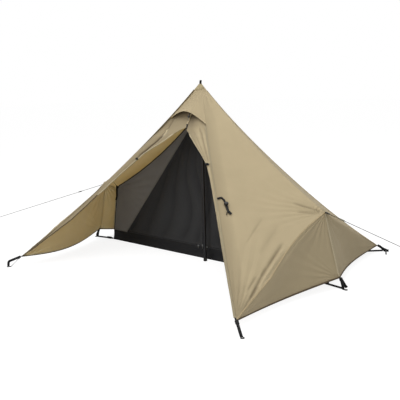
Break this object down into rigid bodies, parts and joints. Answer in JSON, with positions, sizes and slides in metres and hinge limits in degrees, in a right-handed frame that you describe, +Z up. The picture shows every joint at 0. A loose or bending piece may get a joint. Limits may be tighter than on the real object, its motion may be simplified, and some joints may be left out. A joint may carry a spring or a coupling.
{
  "type": "pyramid tent",
  "caption": "One pole pyramid tent with its doors tied back, side pull outs with guy lines, and a half inner tent of mesh over a waterproof tub.",
  "frame": {"origin": "on the ground, in the middle of the rectangle of the six peg eyelets", "axes": "+Z up, +X to the right of someone who faces the door, +Y to the rear"},
  "size_m": [5.5514, 2.232, 1.5151],
  "materials": {
    "canvas": "matte woven polycotton, tan",
    "webbing": "black woven webbing",
    "plastic": "black moulded, satin",
    "guy_cord": "grey braided cord",
    "pole_metal": "dark anodised tube",
    "rubber": "black moulded",
    "groundsheet": "black coated nylon, slight sheen",
    "grey_mesh": "grey sheer fabric",
    "black_mesh": "black insect mesh",
    "elastic": "black elastic cord"
  },
  "bodies": {
    "tent": {"apex_cap": "canvas", "apex_tab": "webbing", "corner_cord_front_left": "elastic", "corner_cord_front_right": "elastic", "corner_cord_rear_left": "elastic", "corner_cord_rear_right": "elastic", "door_left": "canvas", "door_right": "canvas", "door_tie_left": "plastic", "door_tie_right": "plastic", "guy_line_left": "guy_cord", "guy_line_right": "guy_cord", "inner_front_left": "grey_mesh", "inner_front_right": "grey_mesh", "inner_rear": "black_mesh", "inner_side_left": "grey_mesh", "inner_side_right": "grey_mesh", "inner_tub": "groundsheet", "lock_front_left": "plastic", "lock_front_right": "plastic", "lock_rear_left": "plastic", "lock_rear_right": "plastic", "lock_side_left": "plastic", "lock_side_right": "plastic", "peak_tie": "webbing", "pole_foot": "rubber", "pole_section_1": "pole_metal", "pole_section_2": "pole_metal", "pole_section_3": "pole_metal", "pole_section_4": "pole_metal", "pole_shock_cord": "elastic", "pole_tip": "plastic", "pull_tab_left": "webbing", "pull_tab_right": "webbing", "shoulder_tie_left": "webbing", "shoulder_tie_right": "webbing", "strap_front_left": "webbing", "strap_front_right": "webbing", "strap_rear_left": "webbing", "strap_rear_right": "webbing", "strap_side_left": "webbing", "strap_side_right": "webbing", "wall_front_top": "canvas", "wall_left_front_lower": "canvas", "wall_left_rear_lower": "canvas", "wall_left_upper": "canvas", "wall_rear": "canvas", "wall_right_front_lower": "canvas", "wall_right_rear_lower": "canvas", "wall_right_upper": "canvas"},
    "inner_door_left": {"inner_door_left": "black_mesh"},
    "inner_door_right": {"inner_door_right": "black_mesh"},
    "inner_slider_centre": {"inner_slider_centre": "plastic"},
    "inner_slider_left": {"inner_slider_left": "plastic"},
    "inner_slider_right": {"inner_slider_right": "plastic"},
    "tensioner_left": {"tensioner_left": "plastic"},
    "tensioner_right": {"tensioner_right": "plastic"},
    "zip_pull": {"zip_pull": "webbing"},
    "vent_strut": {"vent_strut": "plastic"},
    "door_toggle": {"door_toggle": "webbing"}
  },
  "joints": [
    {"name": "inner_door_left_swing", "type": "hinge", "parent": "tent", "child": "inner_door_left", "pos_m": [-0.941, 0.03607, 0.0964], "axis": [0.6169, 0.0291, 0.7865], "range_deg": [0, 45]},
    {"name": "inner_door_right_swing", "type": "hinge", "parent": "tent", "child": "inner_door_right", "pos_m": [0.941, 0.03607, 0.0964], "axis": [0.6169, -0.0291, -0.7865], "range_deg": [0, 45]},
    {"name": "inner_slider_centre_run", "type": "slide", "parent": "tent", "child": "inner_slider_centre", "axis": [0, 0.037, 0.9993], "range_m": [0, 1]},
    {"name": "inner_slider_left_run", "type": "slide", "parent": "tent", "child": "inner_slider_left", "axis": [-1, 0, 0], "range_m": [0, 0.85]},
    {"name": "inner_slider_right_run", "type": "slide", "parent": "tent", "child": "inner_slider_right", "axis": [1, 0, 0], "range_m": [0, 0.85]},
    {"name": "tensioner_left_run", "type": "slide", "parent": "tent", "child": "tensioner_left", "axis": [-0.9563, -0.0367, -0.2899], "range_m": [-0.25, 0.9]},
    {"name": "tensioner_right_run", "type": "slide", "parent": "tent", "child": "tensioner_right", "axis": [0.9055, 0.2175, -0.3644], "range_m": [-0.06, 0.9]},
    {"name": "zip_pull_swing", "type": "hinge", "parent": "tent", "child": "zip_pull", "pos_m": [-0.00132, -0.1489, 1.16864], "axis": [-1, 0, 0], "range_deg": [0, 60]},
    {"name": "vent_strut_swing", "type": "hinge", "parent": "tent", "child": "vent_strut", "pos_m": [-0.00076, -0.11854, 1.27792], "axis": [-1, 0, 0], "range_deg": [0, 20]},
    {"name": "door_toggle_swing", "type": "hinge", "parent": "tent", "child": "door_toggle", "pos_m": [0.6553, -0.51491, 0.64027], "axis": [0.5896, -0.3326, 0.7361], "range_deg": [-12, 5]}
  ]
}
